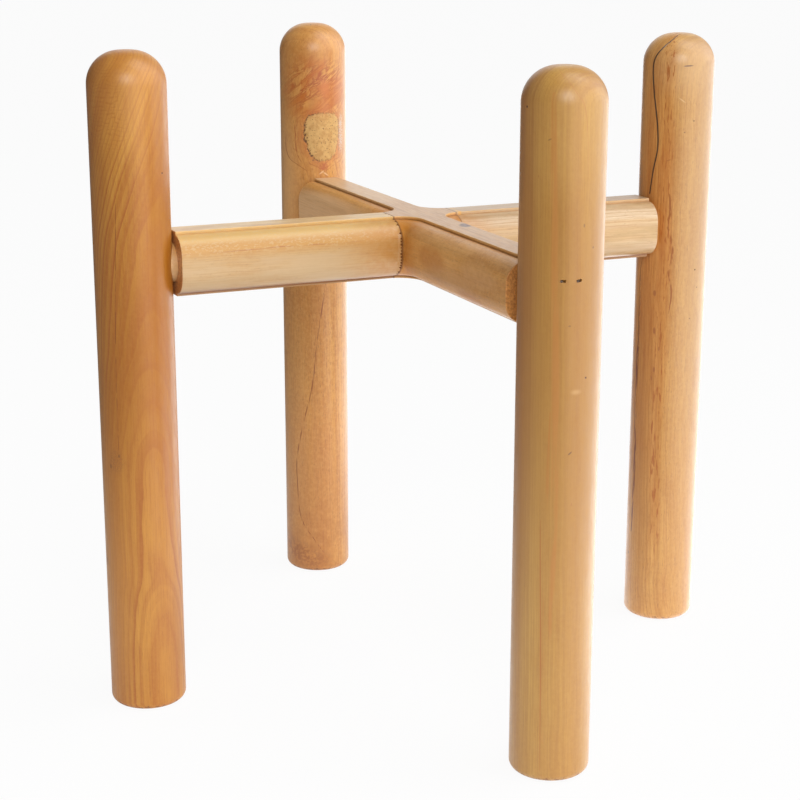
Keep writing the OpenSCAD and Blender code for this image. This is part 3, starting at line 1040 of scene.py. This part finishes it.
def chipSeam(part, x):
    # chips that the cutter tore out beside the glue line, most of them on the front side
    plan = crossPlan
    low, high = plan["chipHeights"]
    tools, kept = [], []
    for spot in seamLine(x + math.copysign(plan["chipShift"], x), plan["chipSpacing"]):
        torn = spot.y < plan["chipFront"] and low < spot.z < high
        level = mathNoise.noise(spot * plan["chipGrain"] + Vector(plan["chipSeed"]))
        if level < plan["chipFrom"][0 if torn else 1]:
            continue
        radius = plan["chipRadius"] * (0.6 + 0.4 * min(1.0, abs(level) * 2))
        if any((spot - other).length < plan["chipGap"] for other in kept):
            continue
        kept.append(spot)
        tools.append(pitTool(spot, radius, plan["chipScale"]))
    print("seam chips:", len(tools))
    cutTogether(part, tools)


cross = routeCross()
print("cross routed,", len(cross.data.polygons), "faces")
seam = crossPlan["seam"]
throughRail = cleave(cross, "throughRail", [(-seam, 1), (seam, -1)])
armLeft = cleave(cross, "armLeft", [(-seam, -1)])
armRight = cleave(cross, "armRight", [(seam, 1)])
bpy.data.objects.remove(cross, do_unlink=True)
for part in (throughRail, armLeft, armRight):
    boreDowels(part)
openSeam(armLeft, -seam, most=0.6)
openSeam(armRight, seam, most=0.5)
chipSeam(armLeft, -seam)
addTenon(throughRail, 1, 1)
addTenon(throughRail, 1, -1)
addTenon(armLeft, 0, -1)
addTenon(armRight, 0, 1)
print("cross split into the through rail and two arms")


def routedTraces(kit, look):
    # dust and painted shade in the quirks, painted shade underneath and in the inner corners, painted light
    # on the roundover crests, bright worn edges, sanded flats, end grain and seam lines
    plan, place = crossPlan, kit["place"]
    spot = vecCalc("MULTIPLY", kit["raw"], (1 / mm, 1 / mm, 1 / mm))
    x, y, z = addNode("SeparateXYZ", {0: spot}).outputs
    farX, farY = calc("ABSOLUTE", x), calc("ABSOLUTE", y)
    furthest = calc("MAXIMUM", farX, farY)
    nearX, nearY = (calc("MAXIMUM", minus(plan["corner"], far), 0.0) for far in (farX, farY))
    out = minus(plan["corner"], vecCalc("LENGTH", pair(nearX, nearY)))  # distance from the arm's middle line
    up = minus(z, plan["middle"])
    rise = calc("ABSOLUTE", up)

    def nearSpot(outAt, riseAt, soft, hard):
        return remap(vecCalc("LENGTH", pair(minus(out, outAt), minus(rise, riseAt))), soft, hard)

    # side band: the roundover takes the varnish deeper than the flat side
    if look["bandWeight"]:
        band = times(remap(up, 2.5, 7.5), look["bandWeight"])
        paint(kit, band, look["bandTone"])
        line = apart(plus(up, swing(noise(place, 0.03), 3.0)), 6.2)
        broken = remap(noise(place, 0.3, 2.0, 0.5, (1, 1, 0.15)), 0.4, 0.6)
        paint(kit, remap(line, 0.45, 0.1), look["bandLine"], look["bandWeight"], broken)
        # painted light on the upper crest of the roundover
        paint(kit, remap(up, 9.5, 12.5), look["crestPaintedLight"], look["bandWeight"] * 0.7)
        dots = remap(noise(place, 1.1, 2.0, 0.6, (1, 1, 0.5)), 0.5, 0.64)
        paint(kit, times(dots, band), look["light"], 0.4)
    if look["lowWeight"]:
        grey = remap(noise(place, 0.12, 3.0, 0.6, (1, 1, 0.2)), 0.3, 0.62)
        paint(kit, times(remap(up, 6.0, 0.0), grey), look["lowTone"], look["lowWeight"])

    # flats, painted shade under the rail and in the inner corners, dust and painted shade in the quirks, and
    # worn edges
    flat = times(remap(rise, 15.2, 15.9), remap(out, 7.1, 6.7))
    paint(kit, flat, look["flatTone"], look["flatWeight"])
    figure = remap(noise(place, 0.5, 3.0, 0.6, (1, 1, 0.06)), 0.46, 0.66)
    paint(kit, times(flat, figure), look["figureTone"], look["figureWeight"])
    # painted shade along the underside of the rail and arms
    paint(kit, remap(up, -12.0, -14.4), look["undersideShade"], look["undersideShadeWeight"])
    blotch = remap(noise(place, 0.3, 3.0, 0.6), 0.3, 0.66, 0.65, 1.1)
    # painted shade and warm painted bounce light in the inner corners where the arms meet the rail
    inner = times(remap(furthest, look["innerCornerShadeReach"], 18.0), remap(out, 7.2, 8.5), blotch)
    paint(kit, inner, look["innerCornerShade"], look["innerCornerShadeWeight"])
    # dust and painted shade in the quirk's inner corner
    paint(kit, nearSpot(7.25, 14.35, 0.85, 0.25), look["quirkDustAndShade"], look["quirkDustAndShadeWeight"])
    paint(kit, nearSpot(6.9, 15.75, 0.7, 0.2), look["wornTone"], look["wornWeight"])

    # sawn shoulders and turned tenons
    shoulder = plan["shoulder"]
    offAxis = vecCalc("LENGTH", pair(calc("MINIMUM", farX, farY), up))
    ends = times(remap(furthest, shoulder - 0.35, shoulder - 0.05), remap(offAxis, 9.9, 10.3))
    sawn = remap(noise(kit["raw"], 900.0, 3.0, 0.7), 0.35, 0.65)
    paint(kit, ends, blendTone(sawn, look["endTone"], look["endDark"]), 0.85)
    paint(kit, remap(furthest, shoulder - 0.05, shoulder + 0.1), look["tenonTone"], 0.45)

    # the glue line, and chips torn out beside it, which lie below the routed surface
    fromSeam = apart(farX, plan["seam"])
    core = plan["halfHeight"] - plan["quirk"] - plan["roundover"]
    over = pair(calc("MAXIMUM", minus(out, plan["flatHalf"]), 0.0), calc("MAXIMUM", minus(rise, core), 0.0))
    sunk = remap(minus(plan["roundover"], vecCalc("LENGTH", over)), 0.06, 0.28)
    sunk = times(sunk, times(remap(fromSeam, 2.4, 1.8), remap(farY, 25.0, 20.0)), 0.9)
    paint(kit, sunk, look["seamTone"])
    kit["coat"] = times(minus(1.0, sunk), look["coat"])
    kit["rough"] = plus(kit["rough"], times(sunk, 0.45))
    glue = times(remap(fromSeam, 0.6, 0.2), remap(farY, 30.0, 20.0), look["seamWeight"])
    paint(kit, glue, look["seamTone"])
    carve(kit, glue, 1.5)

    fibres = remap(kit["fibre"], 0.42, 0.62, 1.0, 0.75)
    for mark in look["spots"]:
        far = vecCalc("LENGTH", centred(spot, mark["at"], mark["half"], mark.get("turn", 0)))
        paint(kit, remap(far, 1.3, 0.7), mark["tone"], mark["weight"], fibres)


crossWood = dict(
    plainWood, middle=(0, 0, crossPlan["middle"]), round=0, extras=[routedTraces], bandWeight=0,
    bandTone=tone(200, 148, 76), bandLine=tone(178, 113, 63), crestPaintedLight=tone(230, 194, 124),
    figureWeight=0.5, figureTone=tone(168, 122, 82), lowTone=tone(206, 176, 134), lowWeight=0,
    flatWeight=0.5, flatTone=tone(202, 176, 147), innerCornerShadeWeight=0.5, innerCornerShadeReach=40,
    innerCornerShade=tone(196, 122, 30), undersideShadeWeight=0.35, undersideShade=tone(136, 84, 44), quirkDustAndShadeWeight=0.8,
    quirkDustAndShade=tone(150, 92, 44), wornWeight=0.6, wornTone=tone(236, 190, 120), endTone=tone(214, 156, 94),
    endDark=tone(160, 100, 50), tenonTone=tone(222, 172, 112), seamWeight=0.5, seamTone=tone(96, 56, 28),
    spots=[])
railLook = dict(
    crossWood, turn=(-90, 0, 0), pale=tone(225, 167, 93), warm=tone(212, 152, 79), deep=tone(200, 138, 66),
    line=tone(168, 106, 51), light=tone(229, 180, 113), gap=3.2, pith=[(-160, 46), (160, 42)],
    twist=[(-160, 70), (160, 70)], lineWeight=0.14, fibre=0.26, mottle=0.4, fine=0.07, pores=0.45,
    quirkDustAndShade=tone(140, 86, 38), quirkDustAndShadeWeight=0.65, seamWeight=0.5, innerCornerShadeWeight=0.75, cloud=0.75,
    flatTone=tone(196, 170, 143), endTone=tone(228, 162, 90), endDark=tone(176, 108, 52),
    spots=[
        dict(at=(4.6, -45.3, 243), half=(3, 5.4, 1.5), turn=-27, tone=tone(98, 70, 70), weight=0.92),
        # painted light on the shaded left side of the rail's back half
        dict(at=(-17, 88, 228), half=(6, 60, 13), tone=tone(250, 200, 142), weight=0.85),
        dict(at=(-1, 92, 243), half=(9, 56, 1.5), tone=tone(236, 204, 160), weight=0.4),
        dict(at=(-17, -52, 229), half=(6, 16, 6), turn=8, tone=tone(184, 112, 44), weight=0.5),
        dict(at=(-17, -72, 222), half=(6, 26, 5), tone=tone(214, 164, 110), weight=0.45),
        dict(at=(-17, -104, 230), half=(6, 18, 6), tone=tone(216, 166, 112), weight=0.4),
        dict(at=(-17, -92, 216), half=(6, 14, 4), tone=tone(182, 114, 52), weight=0.45)])
armLeftLook = dict(
    crossWood, turn=(0, 90, 0), pale=tone(207, 173, 125), warm=tone(203, 160, 102), deep=tone(194, 146, 82),
    line=tone(179, 126, 71), light=tone(211, 186, 143), gap=1.9, pith=[(-160, 46), (160, 42)],
    twist=[(-160, 20), (160, 20)], lineWeight=0.4, bandWeight=0.9, quirkDustAndShadeWeight=0.5, fibre=0.34,
    faintest=0.1, waver=1.5, fine=0.34, lowWeight=0.75, innerCornerShadeWeight=0.7, innerCornerShadeReach=54,
    innerCornerShade=tone(190, 128, 50), undersideShadeWeight=0.85, flatWeight=0.6, flatTone=tone(220, 190, 142),
    undersideShade=tone(136, 78, 28), wornWeight=0.3, seamWeight=0.9, quirkDustAndShade=tone(180, 126, 68),
    seamTone=tone(124, 70, 22))
armRightLook = dict(
    armLeftLook, pale=tone(220, 195, 159), warm=tone(214, 179, 129), bandWeight=0, innerCornerShadeReach=40,
    innerCornerShade=tone(196, 122, 30), flatWeight=0.5, flatTone=tone(190, 164, 134), innerCornerShadeWeight=0.4,
    seamWeight=0.5, seamTone=tone(150, 88, 40), lowTone=tone(187, 152, 104),
    spots=[
        dict(at=(19.6, -5, 242.3), half=(1.4, 2.6, 1.6), tone=tone(240, 180, 70), weight=0.85),
        dict(at=(20.2, 3.2, 242), half=(1.6, 3, 2), tone=tone(232, 178, 84), weight=0.6)])

finish(throughRail, "through_rail", woodSkin("railWood", railLook), crossPlan["smoothAngle"])
finish(armLeft, "arm_left", woodSkin("armLeftWood", armLeftLook), crossPlan["smoothAngle"])
finish(armRight, "arm_right", woodSkin("armRightWood", armRightLook), crossPlan["smoothAngle"])


# dowels and brads stay as the frame's own solids

def dressNode(name, material):
    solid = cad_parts[name]
    solid.data.materials.clear()
    solid.data.materials.append(material)


dressNode("hub_dowels", woodSkin("dowelWood", dict(armLeftLook, pale=tone(230, 206, 160))))


def steelSkin():
    material = openTree(bpy.data.materials.new("bradSteel"))
    place = addNode("Mapping", {"Vector": addNode("TexCoord").outputs["Object"], "Scale": (mm, mm, mm)},
                    vector_type="TEXTURE").outputs[0]
    brushed = noise(place, 3.0, 3.0, 0.6)
    tarnish = remap(noise(place, 1.2, 3.0, 0.6), 0.4, 0.65)
    bump = addNode("Bump", {"Strength": 0.3, "Distance": 0.00005, "Height": brushed})
    metal = addNode("BsdfPrincipled", {
        "Base Color": blendTone(tarnish, tone(92, 78, 68), tone(52, 38, 30)), "Metallic": 0.9,
        "Roughness": remap(brushed, 0.3, 0.7, 0.35, 0.6), "Normal": bump.outputs[0]})
    addNode("OutputMaterial", {0: metal.outputs[0]})
    return material


dressNode("brads", steelSkin())
print("dowels and brads dressed")
